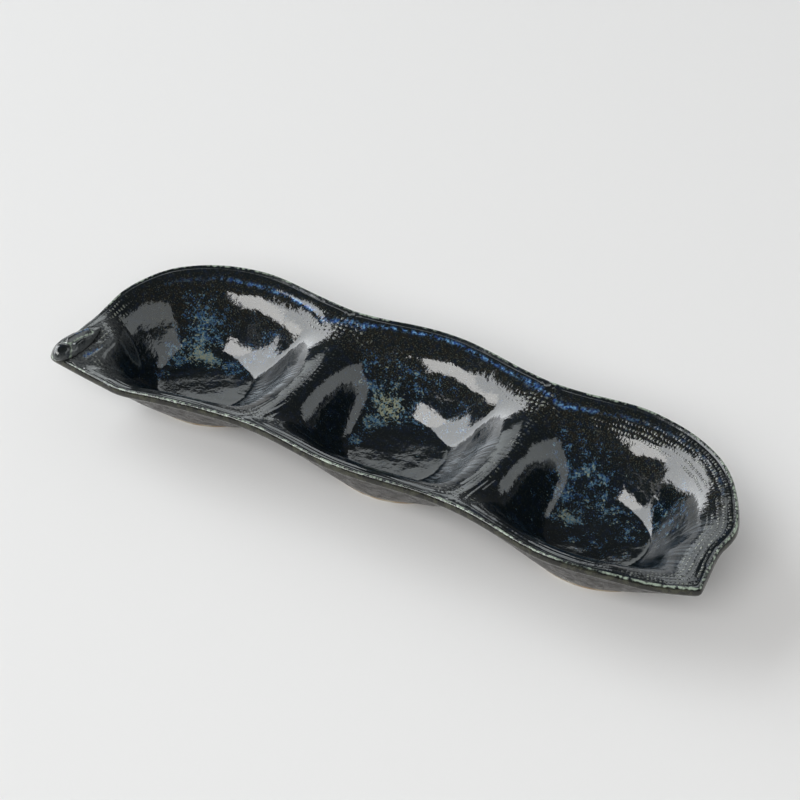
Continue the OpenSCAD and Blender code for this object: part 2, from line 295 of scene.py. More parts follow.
def near_stalk(points, slope):
    return nearness(points, STALK_AT, SEAT_RADIUS, slope)


CREST_Z = RIM_HEIGHT - CORNER_DROP * (near_stalk(CREST, STALK_SLOPE)
                                      + nearness(CREST, BEAK_AT, BEAK_TIP, BEAK_SLOPE))
CREST_POINTS = np.column_stack([CREST, CREST_Z])

# At each station: way along the crest, direction along it, direction square to it
CREST_WAY = way_along(CREST)
TANGENT = unit(np.roll(CREST, -1, 0) - np.roll(CREST, 1, 0))
SQUARE = np.stack([-TANGENT[:, 1], TANGENT[:, 0]], 1)


def well_of_stations():
    i = np.arange(STATIONS)
    owner = np.full(STATIONS, 2)
    owner[(i < FRONT_LEFT) | (i > BACK_LEFT)] = 0
    owner[(i > FRONT_LEFT) & (i < FRONT_RIGHT)] = 1
    owner[(i > BACK_RIGHT) & (i < BACK_LEFT)] = 1
    return owner


OWNER = well_of_stations()


def rim_inward():
    """Direction inwards: square to the rim, but to the well's middle at a corner."""
    to_well = unit(WELLS[OWNER] - CREST)
    near = np.minimum(length(CREST - STALK_AT), length(CREST - BEAK_AT))
    turn = rising(near, 0, CORNER_TURN)[:, None]
    return unit(to_well + (SQUARE - to_well) * turn)


INWARD = rim_inward()


def rim_rows(insets, drops):
    """Columns of points round the rim, at insets from the crest and drops below it."""
    xy = CREST[:, None, :] + np.asarray(insets)[None, :, None] * INWARD[:, None, :]
    z = CREST_Z[:, None] - np.asarray(drops)[None, :]
    return np.concatenate([xy, z[..., None]], -1)


UNDER_EDGE = rim_rows([UNDER_WIDTH], [RIM_EDGE + UNDER_FALL])[:, 0]


def rim_distance(points):
    """Way inwards from the crest and way along it, in plan."""
    tree = KDTree(STATIONS)
    for i, (x, y) in enumerate(CREST.tolist()):
        tree.insert((x, y, 0.0), i)
    tree.balance()
    near = np.array([tree.find((x, y, 0.0))[1] for x, y in points[:, :2].tolist()])
    out = points[:, :2] - CREST[near]
    inset = np.abs((out * SQUARE[near]).sum(1))
    return inset, CREST_WAY[near] + (out * TANGENT[near]).sum(1)


# Saddles and loops round the wells
def saddle_line(edge, s, k):
    a, b = edge[WAISTS[s]]
    line = a + (b - a) * (k / SADDLE_STEPS)[:, None]
    line[:, 0] += SADDLE_BOW * np.sin(np.pi * k / SADDLE_STEPS) ** 2
    return line


def saddle(s, lower):
    """Points of one saddle line from front to back, without its two ends."""
    k = np.arange(1, SADDLE_STEPS)
    top = saddle_line(CREST_POINTS, s, k)
    top[:, 2] -= SADDLE_DIP * (1 - np.abs(2 * k / SADDLE_STEPS - 1) ** SADDLE_POWER)
    if not lower:
        return top
    under = saddle_line(UNDER_EDGE, s, k)
    under[:, 2] = top[:, 2] - WEB_THICKNESS
    return under


def well_loop(well, lower):
    """Closed loop round one well, along the rim and over the saddles."""
    edge = UNDER_EDGE if lower else CREST_POINTS
    left, right = (saddle(s, lower) for s in (0, 1))

    def run(first, last):
        return edge[np.arange(first, last + 1) % STATIONS]

    loops = (
        [run(BACK_LEFT, FRONT_LEFT + STATIONS), left],
        [run(FRONT_LEFT, FRONT_RIGHT), right, run(BACK_RIGHT, BACK_LEFT), left[::-1]],
        [run(FRONT_RIGHT, BACK_RIGHT), right[::-1]],
    )
    return np.vstack(loops[well])


def wall_rise(slopes):
    """Share of the height at each row of a wall, from slopes at even steps."""
    t = np.linspace(0, 1, WALL_ROWS + 1)
    slope = np.interp(t, np.linspace(0, 1, len(slopes)), slopes)
    window = 2 * WALL_BLUR + 1
    slope = np.convolve(np.pad(slope, WALL_BLUR, "edge"), np.ones(window) / window, "valid")
    rise = np.concatenate([[0], np.cumsum((slope[1:] + slope[:-1]) / 2)])
    return rise / rise[-1]


def wall_shares(well, v):
    """Share of the height at each row, for each direction v out of a well."""
    leftwards, rightwards = (wall_rise(slopes) for slopes in LENGTHWAYS_WALLS[well])
    lengthways = np.where(v[:, :1] < 0, leftwards, rightwards)
    return mix(wall_rise(SIDE_WALL), lengthways, v[:, :1] ** 2)


FOOT_MIDDLES = WELLS + np.array([[0, LEFT_FOOT_BACK], [0, 0], [0, 0]])


def foot_loop(well, edge, ring):
    """Oval of a foot, smaller by ring, with a point for each point of edge."""
    v = unit(edge[:, :2] - WELLS[well])
    return FOOT_MIDDLES[well] + oval(FOOT_LENGTH - 2 * ring, FOOT_WIDTH - 2 * ring, v)[:, None] * v


# Mesh of the body
class Skin:
    """Patches of points as one mesh, with values at points and regions at faces."""

    def __init__(self):
        self.parts = []
        self.count = 0

    def patch(self, columns, values, region):
        """Closed ring of columns; returns the first points of each column and of the next one."""
        size = columns.shape[0] * columns.shape[1]
        index = np.arange(self.count, self.count + size).reshape(columns.shape[:2])
        index = np.pad(index, ((0, 1), (0, 0)), "wrap")
        self.add(columns.reshape(-1, 3), values.reshape(size, -1), quads_of(index), region)
        return index[:-1, 0], index[1:, 0]

    def fan(self, first, second, middle, well, level, region):
        """Triangles from a middle point, each kept as a quad with one point twice."""
        centre = np.full(len(first), self.count)
        tris = np.stack([centre, first, second, second], -1)
        self.add(np.array([middle]), np.array([[well, 1.0, 0.0, level]]), tris, region)

    def add(self, points, values, faces, region):
        self.parts.append((points, values, faces, np.full(len(faces), region)))
        self.count += len(points)

    def merged(self):
        """One mesh with coinciding points joined."""
        points, values, faces, regions = (np.concatenate(part) for part in zip(*self.parts))
        keys = np.round(points * MERGE_STEPS_PER_MM).astype(np.int64)
        _, first, back = np.unique(keys, axis=0, return_index=True, return_inverse=True)
        return points[first], values[first], back.reshape(-1)[faces], regions


WELL, EDGE, UNDER, CUP, BASE = range(5)

# Sections of the rim's edge and of its underside: inset from the crest, drop below it
EDGE_SHAPE = [[0, 0], [-EDGE_BULGE, 0.32 * RIM_EDGE], [-0.9 * EDGE_BULGE, 0.68 * RIM_EDGE],
              [EDGE_BULGE, RIM_EDGE]]
UNDER_SHAPE = [[EDGE_BULGE, RIM_EDGE], [0.7 * UNDER_WIDTH, RIM_EDGE + 0.6 * UNDER_FALL],
               [UNDER_WIDTH, RIM_EDGE + UNDER_FALL]]


def profile(shape, rows):
    """Evenly spaced insets and drops along a smooth profile."""
    fine = smooth_curve(shape, PROFILE_STEPS, closing=True)
    way = way_along(fine)
    at = np.linspace(0, way[-1], rows + 1)
    return np.interp(at, way, fine[:, 0]), np.interp(at, way, fine[:, 1])


def point_values(well, way, level):
    """Values at each point: well, direction x and y from its middle, level."""
    parts = np.broadcast_arrays(well, way[..., 0], way[..., 1], level)
    return np.stack(parts, -1).astype(float)


def rim_values(levels):
    way = unit(CREST - WELLS[OWNER])[:, None, :]
    return point_values(OWNER[:, None], way, np.asarray(levels)[None, :])


def well_columns(well):
    """Columns of one well, from its floor up."""
    edge = well_loop(well, False)
    out = edge[:, :2] - WELLS[well]
    v = unit(out)
    r_floor = oval(FLOOR_LENGTH, FLOOR_WIDTH, v)[:, None]
    r_edge = length(out)[:, None]
    z_floor = FLOOR_HEIGHT + FLOOR_DISH
    f = np.linspace(FLOOR_START, 1, FLOOR_ROWS)
    t = np.linspace(0, 1, WALL_ROWS + 1)[1:]
    radius = np.concatenate([r_floor * f, mix(r_floor, r_edge, t)], 1)
    height = np.concatenate([np.broadcast_to(FLOOR_HEIGHT + FLOOR_DISH * f ** 2, (len(edge), len(f))),
                             mix(z_floor, edge[:, 2:3], wall_shares(well, v)[:, 1:])], 1)
    xy = WELLS[well] + radius[..., None] * v[:, None, :]
    columns = np.concatenate([xy, height[..., None]], -1)
    level = np.concatenate([f, mix(FLOOR_END, CREST_LEVEL, t)])
    return columns, point_values(well, v[:, None, :], level[None, :])


def cup_columns(well):
    """Columns of one cup, from the rim's underside down."""
    edge = well_loop(well, True)
    out = edge[:, :2] - WELLS[well]
    foot = foot_loop(well, edge, 0)
    top = WELLS[well] + (length(out) - LEAST_SLAB)[:, None] * unit(out)
    s = np.linspace(0, 1, SLAB_ROWS + 1)[:-1]
    t = np.linspace(1, 0, CUP_ROWS + 1)
    slab = np.concatenate([mix(edge[:, None, :2], top[:, None], s[:, None]),
                           np.repeat(edge[:, None, 2:], len(s), 1)], -1)
    rise = mix(t * t, t, CUP_STRAIGHT)
    wall = np.concatenate([mix(foot[:, None], top[:, None], t[:, None]),
                           mix(FOOT_HEIGHT, edge[:, 2:3], rise)[..., None]], -1)
    columns = np.concatenate([slab, wall], 1)
    level = np.concatenate([UNDER_LEVEL + s, CUP_LEVEL + (1 - t)])
    return columns, point_values(well, unit(out)[:, None, :], level[None, :])


def body_mesh():
    skin = Skin()
    for well in range(3):
        columns, values = well_columns(well)
        first, second = skin.patch(columns, values, WELL)
        skin.fan(first, second, [*WELLS[well], FLOOR_HEIGHT], well, 0, WELL)
    insets, drops = profile(EDGE_SHAPE, EDGE_ROWS)
    skin.patch(rim_rows(insets, drops), rim_values(CREST_LEVEL + drops / RIM_EDGE), EDGE)
    insets, drops = profile(UNDER_SHAPE, UNDER_ROWS)
    skin.patch(rim_rows(insets, drops), rim_values(np.full(len(insets), UNDER_LEVEL)), UNDER)
    for well in range(3):
        columns, values = cup_columns(well)
        first, second = skin.patch(columns, values, CUP)
        last = columns.shape[1] - 1
        skin.fan(second + last, first + last, [*FOOT_MIDDLES[well], FOOT_HEIGHT], well, BASE_LEVEL, BASE)
    return skin.merged()


def sides_of(faces):
    """Pairs of points along the sides of faces, without the empty side of a triangle."""
    pairs = np.concatenate([faces[:, [k, (k + 1) % 4]] for k in range(4)])
    return pairs[pairs[:, 0] != pairs[:, 1]]


def relaxed(points, faces, passes, share):
    """Points after passes that round off the arrises, each by its own share."""
    e = np.unique(np.sort(sides_of(faces), 1), axis=0)
    n = len(points)
    degree = np.bincount(e.ravel(), minlength=n)[:, None]
    p = points.copy()
    for _ in range(passes):
        total = np.stack([np.bincount(e[:, 0], p[e[:, 1], i], n) + np.bincount(e[:, 1], p[e[:, 0], i], n)
                          for i in range(3)], 1)
        p = p + 0.5 * share[:, None] * (total / degree - p)
    return p


def normals_of(points, faces):
    p = points[faces]
    across = np.cross(p[:, 2] - p[:, 0], p[:, 3] - p[:, 1])
    flat = faces[:, 2] == faces[:, 3]
    across[flat] = np.cross(p[flat, 1] - p[flat, 0], p[flat, 2] - p[flat, 0])
    out = np.zeros_like(points)
    for k in range(4):
        np.add.at(out, faces[:, k], across)
    return unit(out + 1e-12)


# Frame of the stalk
def stalk_axis():
    """Foot of the stalk's axis in plan and the angle it runs at."""
    turn = math.atan2(END_EDGE[1], END_EDGE[0]) - math.radians(STALK_TURN)
    way = np.array([math.cos(turn), math.sin(turn)])
    return STALK_AT + STALK_INSET * EDGE_INWARD - STALK_OVERHANG * way, turn


def stalk_frame(points):
    """Way along the stalk from its outer end, and way inwards from its axis."""
    foot, turn = stalk_axis()
    out = points[:, :2] - foot
    along = out[:, 0] * math.cos(turn) + out[:, 1] * math.sin(turn)
    inwards = out[:, 0] * math.sin(turn) - out[:, 1] * math.cos(turn)
    return along, inwards


# Lumps of the clay: size in mm, seed of the noise, depth in mm
LUMPS = ((13.0, 3, 0.2), (6.0, 8, 0.10))

# Folds of the front rim, groove of the back border and the lip beside it, in mm
FOLD_PITCH = 2.3
FOLD_DEPTH = 0.28
FOLD_BAND = (1.2, 7.0)
FOLD_TURN = 2.0
GROOVE_DEPTH = 0.2
GROOVE_WIDTH = 0.7
GROOVE_WANDER = 0.45
LIP_RISE = 0.10
LIP_WIDTH = 1.0
LIP_AT = -1.4

# Inset that stands for the whole underside
UNDERSIDE_INSET = 20.0

# Marks in the clay beside the stalk: way along it and way inwards, at their ends
STALK_FOLD = ((5.0, 5.0), (18.0, 5.4))
STALK_GROOVE = ((10.0, 6.6), (18.0, 7.2))
PINHOLE = (4.5, 10.5)

# Blue line in the groove of the back border: x along the pod, inset from the crest, strength
BLUE_LINE = np.array([
    (-112, 5.0, 0.1), (-98, 5.5, 0.5), (-75, 5.3, 1.0), (-55, 6.2, 1.0), (-41, 4.2, 0.9), (-30, 3.0, 0.9),
    (-5, 2.6, 1.0), (20, 3.2, 1.0), (35, 3.4, 0.9), (42, 5.0, 0.7), (52, 6.0, 0.9), (65, 5.5, 0.3),
    (90, 4.0, 0.15),
])


class Pod:
    """The finely modelled body and what is known at its points."""

    def __init__(self):
        points, values, self.faces, self.regions = body_mesh()
        self.well = values[:, 0].astype(int)
        self.way = values[:, 1:3]
        self.level = values[:, 3]
        points = relaxed(points, self.faces, SMOOTHING, (self.level < BASE_LEVEL).astype(float))
        inset, self.along = rim_distance(points)
        points = relaxed(points, self.faces, SADDLE_SMOOTHING, self.on_ridge(points, inset))
        on_edge = np.where(self.level <= UNDER_LEVEL, RIM_EDGE * (CREST_LEVEL - self.level), UNDERSIDE_INSET)
        self.inset = np.where(self.level <= CREST_LEVEL, inset, on_edge)
        self.points = self.seated(points)
        self.plan = self.points[:, :2] - WELLS[self.well]
        self.points = self.sculpted()
        self.normals = normals_of(self.points, self.faces)
        self.centred = self.points - np.array([*MIDDLE, 0.0])

    def on_ridge(self, points, inset):
        """Share of rounding on the saddles' ridges, clear of the rim."""
        at_waist = np.min([length(points[:, :2] - CREST[i]) for i in WAISTS.ravel()], axis=0)
        beside_waist = rising(inset, 3, 5)
        elsewhere = rising(inset, 2, 7)
        clear = mix(beside_waist, elsewhere, rising(at_waist, 8, 10))
        return rising(self.level, 2.4, 1.0) * clear * (self.level <= CREST_LEVEL)

    def seated(self, points):
        """Points with the seat of the stalk made level."""
        inwards = (points[:, :2] - STALK_AT) @ EDGE_INWARD
        depth = STALK_INSET + STALK_WIDTH / 2 + SEAT_MARGIN
        share = near_stalk(points[:, :2], SEAT_BLEND) * falling(inwards, depth + SEAT_REACH, SEAT_SOFT)
        out = points.copy()
        out[:, 2] = mix(points[:, 2], SEAT_HEIGHT - SEAT_FALL * np.maximum(inwards, 0),
                        share * (self.level < CREST_LEVEL))
        return out

    def sculpted(self):
        push = self.lumps()
        push += self.rim_folds()
        push += self.border_groove()
        push += self.stalk_folds()
        return self.points + normals_of(self.points, self.faces) * push[:, None]

    def on_top(self):
        """1 on the inside up to the crest, and 0 on the seat of the stalk."""
        return falling(self.level, CREST_LEVEL, 0.25) * (1 - near_stalk(self.points[:, :2], SEAT_BLEND))

    def lumps(self):
        uneven = sum(depth * value_noise(self.points, size, seed) for size, seed, depth in LUMPS)
        return falling(self.level, 4.6, 0.8) * uneven

    def rim_folds(self):
        """Folds along the front rim, which turn up the saddles."""
        way = fold_way(self.points, self.inset)
        folds = np.sin(way * 2 * np.pi / FOLD_PITCH + 2.0 * value_noise(self.points, 16.0, 21))
        uneven = 0.6 + 0.6 * value_noise(self.points, 14.0, 12)
        front = rising(-self.plan[:, 1], 8, 14)
        return self.on_top() * front * band(way, *FOLD_BAND, FOLD_TURN) * FOLD_DEPTH * uneven * folds

    def border_groove(self):
        """Groove in the back border, with a low lip on its outer side."""
        way, strength = back_groove(self)
        lip = LIP_RISE * bell(way, LIP_AT, LIP_WIDTH)
        return self.on_top() * strength * (lip - GROOVE_DEPTH * bell(way, 0, GROOVE_WIDTH))

    def stalk_folds(self):
        """A low fold beside the stalk, with a groove on its inner side and a pinhole."""
        spot = np.column_stack(stalk_frame(self.points))
        fold = segment_distance(spot, *STALK_FOLD)
        groove = segment_distance(spot, *STALK_GROOVE)
        pinhole = length(spot - np.array(PINHOLE))
        top = (self.level > 2.5) & (self.level < CREST_LEVEL)
        return top * (0.6 * bell(fold, 0, 1.3) - 0.5 * bell(groove, 0, 0.7) - 0.6 * bell(pinhole, 0, 0.7))


def fold_way(points, inset):
    """Way inwards from the rim, or from a saddle's ridge where that is nearer."""
    ridge = np.full(len(points), 50.0)
    for front, back in WAISTS:
        a, b = CREST[front], CREST[back]
        share = np.clip((points[:, 1] - a[1]) / (b[1] - a[1]), 0, 1)
        x = mix(a[0], b[0], share) + SADDLE_BOW * np.sin(np.pi * share) ** 2
        ridge = np.minimum(ridge, np.abs(points[:, 0] - x) + 2.0)
    return -FOLD_TURN * np.log(np.exp(-inset / FOLD_TURN) + np.exp(-ridge / FOLD_TURN)) + 1.0


def back_groove(pod):
    """Way inwards from the groove at the back, which wanders a little, and its strength."""
    x = pod.points[:, 0] - MIDDLE[0]
    at, strength = (np.interp(x, BLUE_LINE[:, 0], BLUE_LINE[:, k]) for k in (1, 2))
    way = pod.inset - at - GROOVE_WANDER * value_noise(pod.points, 9.0, 31)
    return way, strength * rising(pod.plan[:, 1], 10, 10) * (pod.level < CREST_LEVEL)


# Grains of broken glaze, in mm from the middle of each well: x, y, spread x, spread y, speckle, cream
SPECKLE_CLOUDS = (
    ((-14, 21, 9, 8, 0.85, 0.3), (-10, 13, 9, 5, 1.2, 1.0), (-18, 8, 5, 9, 0.8, 0.3),
     (4, 14, 10, 5, 0.7, 0.1), (-18, -2, 4, 6, 0.5, 0.1), (-20, 27, 5, 4, 0.4, 0.0),
     (14, 22, 8, 7, 0.5, 0.0)),
    ((-14, 18, 7, 6, 1.1, 1.2), (-17, 9, 5, 7, 0.9, 0.5), (-18, -1, 4, 6, 0.6, 0.2),
     (-10, 26, 10, 5, 0.6, 0.0), (4, 28, 9, 3, 0.35, 0.0), (-22, 20, 8, 9, 0.7, 0.1),
     (-5, 20, 9, 7, 0.6, 0.2), (15, 20, 9, 6, 0.5, 0.0)),
    ((-12, 22, 13, 6, 0.6, 0.1), (-4, 13, 14, 6, 0.7, 0.35), (-15, 4, 6, 5, 1.1, 0.8),
     (-20, 12, 5, 8, 0.8, 0.1), (8, 8, 10, 7, 0.5, 0.2), (0, -4, 16, 6, 0.4, 0.1),
     (20, 14, 10, 8, 0.6, 0.15), (-24, 20, 6, 9, 0.6, 0.0)),
)
LEAST_SPECKLE = 0.1

# Where the cloth print shows, in mm from the middle of the pod: x, y, spread x, spread y, strength
CLOTH_ZONES = (
    (-118, -24, 11, 12, 1.1), (-130, -5, 6, 9, 0.7), (-44.5, 0, 4, 26, 0.55), (42, 0, 4, 26, 0.55),
    (-50, -30, 13, 5, 0.9), (37, -30, 13, 5, 0.9), (127, -8, 7, 26, 1.2), (112, 26, 14, 9, 1.0),
    (-48, 30, 16, 7, 0.6), (38, 30, 16, 7, 0.65), (84, 33, 26, 7, 0.65), (118, -34, 12, 7, 0.8),
)
LEAST_CLOTH = 0.06

# Where the glaze is rubbed grey, in the same form
WORN_ZONES = ((118, -34, 14, 8, 0.2), (-50, -34, 16, 6, 0.5), (37, -34, 16, 6, 0.5), (-80, -40, 30, 4, 0.35))

# Strength of the glaze streaks in the left, middle and right well; their pale colour is partly a painted
# reflection, strongest in the left well
DRAWN_AND_REFLECTION_IN_WELL = np.array([1.6, 0.9, 0.3])


def zone_strength(pod, zones, least):
    """Strongest of some soft patches at each point."""
    x = pod.centred[:, 0]
    y = pod.centred[:, 1]
    total = np.full(len(x), least)
    for *place, amount in zones:
        total = np.maximum(total, amount * patch_at(x, y, *place))
    return total


def speckle_marks(pod):
    """Density of the grains and how cream they are."""
    x, y = pod.plan.T
    speckle = np.zeros(len(x))
    cream = np.zeros(len(x))
    for well, clouds in enumerate(SPECKLE_CLOUDS):
        here = pod.well == well
        for *place, amount, pale in clouds:
            spot = here * patch_at(x, y, *place)
            speckle = np.maximum(speckle, amount * spot)
            cream = np.maximum(cream, pale * spot)
    in_well = falling(pod.level, 3.7, 0.8) * rising(pod.inset, 5, 5)
    return np.maximum(speckle, LEAST_SPECKLE) * in_well, cream


def blue_mark(pod):
    """Blue line in the back border and beside the stalk."""
    way, strength = back_groove(pod)
    beside = segment_distance(np.column_stack(stalk_frame(pod.points)), *STALK_GROOVE)
    on_border = np.abs(pod.level - 3.3) < 0.7
    return np.maximum(strength * bell(way, 0, 0.6), on_border * bell(beside, 0, 0.6))


def cloth_mark(pod):
    """Cloth print on the border and the saddles."""
    on_border = falling(pod.level, 4.02, 0.1) * falling(pod.inset, 14, 5)
    on_saddle = rising(pod.level, 3.0, 0.7) * (pod.level < 4.01)
    return np.maximum(on_border, on_saddle) * zone_strength(pod, CLOTH_ZONES, LEAST_CLOTH)


def brown_mark(pod):
    """Browner glaze below the back border."""
    inside = pod.level < CREST_LEVEL
    return inside * band(pod.inset, 3.0, 17.0, 6.0) * rising(pod.plan[:, 1], 0, 12)


def thin_and_highlight_mark(pod):
    """Thin glaze on the crest, broken in places; its pale line is also a painted highlight along the crest.
    """
    on_rim = (np.abs(pod.level - CREST_LEVEL) < 0.95) & (pod.inset < 6)
    broken = 0.75 + 0.5 * value_noise(pod.points, 7.0, 17) + 0.2 * rising(pod.centred[:, 0], 90, 30)
    return on_rim * bell(pod.inset, 0, 0.85) * np.clip(broken, 0, 1)


def drawn_and_reflection_mark(pod):
    """Streaks down the right front of each well, whose paleness is partly a painted reflection."""
    inside = pod.level < CREST_LEVEL
    right = rising(pod.plan[:, 0], 4, 12)
    front = falling(pod.plan[:, 1], 14, 12)
    off_rim = rising(pod.inset, 4, 5)
    above_floor = rising(pod.level, FLOOR_END, 0.4)
    below_crest = 1 - rising(pod.level, 2.9, 0.6)
    return inside * right * front * off_rim * above_floor * below_crest * DRAWN_AND_REFLECTION_IN_WELL[pod.well]


def worn_mark(pod):
    """Rubbed glaze on the front border and round the stalk."""
    border = zone_strength(pod, WORN_ZONES, 0.0) * rising(pod.level, 2.7, 0.6)
    away = length(pod.points[:, :2] - STALK_AT)
    corner = falling(away, 36, 10) * rising(pod.level, 2.0, 0.5)
    return np.maximum(border, corner) * (pod.level < 4.05)


def glaze_marks(pod):
    level = pod.level
    speckle, cream = speckle_marks(pod)
    return {
        "edge": rising(level, 4.05, 0.2) * (level < 5.2),
        "drawn_and_reflection": drawn_and_reflection_mark(pod),
        "worn_and_sheen": worn_mark(pod),
        "speckle": speckle,
        "cream": cream,
        "blue": blue_mark(pod),
        "cloth": cloth_mark(pod),
        "brown": brown_mark(pod),
        # Pale crest: thin glaze, partly a painted highlight
        "thin_and_highlight": thin_and_highlight_mark(pod),
        # Pale lower edge of the rim: thin glaze, partly a painted highlight
        "lower": bell(level, UNDER_LEVEL, 0.06) * (level > CREST_LEVEL),
        "bare": (level >= BASE_LEVEL - LEVEL_SLACK).astype(float),
    }


def flow_of(pod):
    """Coordinates in mm that run round and up each well."""
    radius = 24.0
    apart = 200
    rise = np.minimum(pod.level, 2.5) * 14.0
    return np.stack([pod.way[:, 0] * radius + pod.well * apart, pod.way[:, 1] * radius, rise], 1)


def weave_of(pod):
    """Coordinates in mm of the cloth print, along the rim and across it."""
    return np.stack([pod.along, pod.inset, pod.well * 10.0], 1)


# Building objects
def face_list(faces):
    """Faces as lists, without the repeated point of a triangle."""
    return [[v for i, v in enumerate(f) if v != f[i - 1]] for f in faces.tolist()]


def add_piece(name, points, faces, marks, vectors, material, node):
    """One smooth object at points in mm, standing for one node of the part."""
    mesh = bpy.data.meshes.new(name)
    mesh.from_pydata((points * 0.001).tolist(), [], face_list(faces))
    for kind, field, layers in (("FLOAT", "value", marks), ("FLOAT_VECTOR", "vector", vectors)):
        for key, values in layers.items():
            layer = mesh.attributes.new(key, kind, "POINT")
            layer.data.foreach_set(field, np.asarray(values, np.float32).ravel())
    mesh.shade_smooth()
    mesh.materials.append(material)
    piece = bpy.data.objects.new(name, mesh)
    bpy.context.scene.collection.objects.link(piece)
    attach(piece, "root")
    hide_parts(node)


def coat(points, normals, faces, thickness):
    """Closed shell on some faces; returns its points, its faces and the points used."""
    used, index = np.unique(faces, return_inverse=True)
    index = index.reshape(faces.shape)
    count = len(used)
    inner = points[used]
    outer = inner + normals[used] * thickness[used, None]
    pairs = sides_of(index)
    forth = pairs[:, 0] * count + pairs[:, 1]
    back = pairs[:, 1] * count + pairs[:, 0]
    rim = pairs[~np.isin(back, forth)]
    wall = np.stack([rim[:, 1], rim[:, 0], rim[:, 0] + count, rim[:, 1] + count], 1)
    shell = np.vstack([index, index[:, ::-1] + count, wall])
    return np.vstack([outer, inner]), shell, np.concatenate([used, used])


def taken(values, used):
    return {key: array[used] for key, array in values.items()}


# Materials
class Nodes:
    """A material and short ways to add nodes to it."""

    def __init__(self, name):
        self.material = bpy.data.materials.new(name)
        self.material.use_nodes = True
        self.tree = self.material.node_tree
        self.shader = self.tree.nodes["Principled BSDF"]

    def new(self, kind):
        return self.tree.nodes.new("ShaderNode" + kind)

    def feed(self, socket, value):
        if isinstance(value, bpy.types.NodeSocket):
            self.tree.links.new(value, socket)
        else:
            socket.default_value = value

    def set(self, name, value):
        self.feed(self.shader.inputs[name], value)

    def mark(self, name, kind="Fac"):
        node = self.new("Attribute")
        node.attribute_name = name
        return node.outputs[kind]

    def vector(self, name):
        return self.mark(name, "Vector")

    def place(self):
        """Place on the object, in metres."""
        return self.new("TexCoord").outputs["Object"]

    def math(self, operation, a, b=0.0, c=0.0, clamp=False):
        node = self.new("Math")
        node.operation = operation
        node.use_clamp = clamp
        for socket, value in zip(node.inputs, (a, b, c)):
            self.feed(socket, value)
        return node.outputs[0]

    def times(self, a, b):
        return self.math("MULTIPLY", a, b)

    def plus(self, a, b):
        return self.math("ADD", a, b)

    def times_plus(self, a, b, c):
        return self.math("MULTIPLY_ADD", a, b, c)

    def vmath(self, operation, a, b=(0, 0, 0), scale=1.0):
        node = self.new("VectorMath")
        node.operation = operation
        self.feed(node.inputs[0], a)
        self.feed(node.inputs[1], b)
        self.feed(node.inputs[3], scale)
        return node.outputs["Value" if operation == "LENGTH" else "Vector"]

    def noise(self, vector, scale, detail=2.0, rough=0.5):
        """Noise with scale waves in one unit of the vector."""
        node = self.new("TexNoise")
        for key, value in (("Vector", vector), ("Scale", scale), ("Detail", detail), ("Roughness", rough)):
            self.feed(node.inputs[key], value)
        return node.outputs["Fac"]

    def chance(self, vector):
        node = self.new("TexWhiteNoise")
        self.feed(node.inputs["Vector"], vector)
        return node.outputs["Value"]

    def spread(self, value, low, high, to_low=0.0, to_high=1.0):
        node = self.new("MapRange")
        node.interpolation_type = "SMOOTHSTEP"
        for socket, number in zip(node.inputs, (value, low, high, to_low, to_high)):
            self.feed(socket, number)
        return node.outputs[0]

    def mix(self, share, a, b):
        node = self.new("Mix")
        node.data_type = "RGBA"
        self.feed(node.inputs["Factor"], share)
        self.feed(node.inputs[6], a)
        self.feed(node.inputs[7], b)
        return node.outputs[2]

    def bump(self, height):
        """Bump from a height in mm."""
        node = self.new("Bump")
        for key, value in (("Strength", 1.0), ("Distance", 0.001), ("Height", height)):
            self.feed(node.inputs[key], value)
        self.set("Normal", node.outputs["Normal"])


def rgb(red, green, blue):
    return (red, green, blue, 1.0)


# Colours of the glaze
DEEP = rgb(0.0030, 0.0055, 0.0070)
BROWN_BLACK = rgb(0.011, 0.010, 0.007)
OLIVE = rgb(0.050, 0.055, 0.040)
NAVY = rgb(0.005, 0.010, 0.022)
COBALT = rgb(0.018, 0.060, 0.24)
SKY = rgb(0.16, 0.35, 0.58)
BLUE_GRAIN = rgb(0.014, 0.042, 0.11)
CYAN_GRAIN = rgb(0.065, 0.14, 0.19)
CREAM_GRAIN = rgb(0.20, 0.21, 0.14)
# Pale tops of the cloth dots: thinner glaze, partly painted glints
DOT_PALE_AND_GLINT = rgb(0.30, 0.32, 0.27)
# Pale grey of the streaks, partly a painted reflection on the well walls
SCRAPED_AND_REFLECTION = rgb(0.22, 0.25, 0.275)
# Rubbed grey glaze, which on the stalk also paints a sheen
WORN_AND_SHEEN = rgb(0.075, 0.082, 0.084)
# Celadon of thin glaze on the crest, which also paints the crest's highlight
CELADON_AND_HIGHLIGHT = rgb(0.29, 0.35, 0.285)
EDGE_BLACK = rgb(0.008, 0.008, 0.006)
EDGE_OLIVE = rgb(0.036, 0.037, 0.024)
# Pale line of the rim's lower edge: thin glaze, partly a painted highlight
LOWER_PALE_AND_HIGHLIGHT = rgb(0.2, 0.2, 0.16)
OUTER_BLACK = rgb(0.006, 0.005, 0.004)
OUTER_BROWN = rgb(0.020, 0.017, 0.012)
# The same pale line on the outer coat, partly a painted highlight
OUTER_PALE_AND_HIGHLIGHT = rgb(0.22, 0.21, 0.17)
HEM_BROWN = rgb(0.06, 0.048, 0.03)

# Colours of the bare clay and of the floor
BARE_CLAY = rgb(0.47, 0.43, 0.35)
SHADED_CLAY = rgb(0.36, 0.32, 0.25)
TOASTED_CLAY = rgb(0.36, 0.27, 0.18)
SAND = rgb(0.2, 0.16, 0.12)
FLOOR_GREY = rgb(0.80, 0.80, 0.795)
FLOOR_GRAIN = rgb(0.76, 0.76, 0.76)

# Cloth print, in mm
CLOTH_PITCH = 1.5
CLOTH_ROWS = 1.9
DOT_RADIUS = 0.55
DOT_FLAT = 0.2
DOT_RISE = 0.16

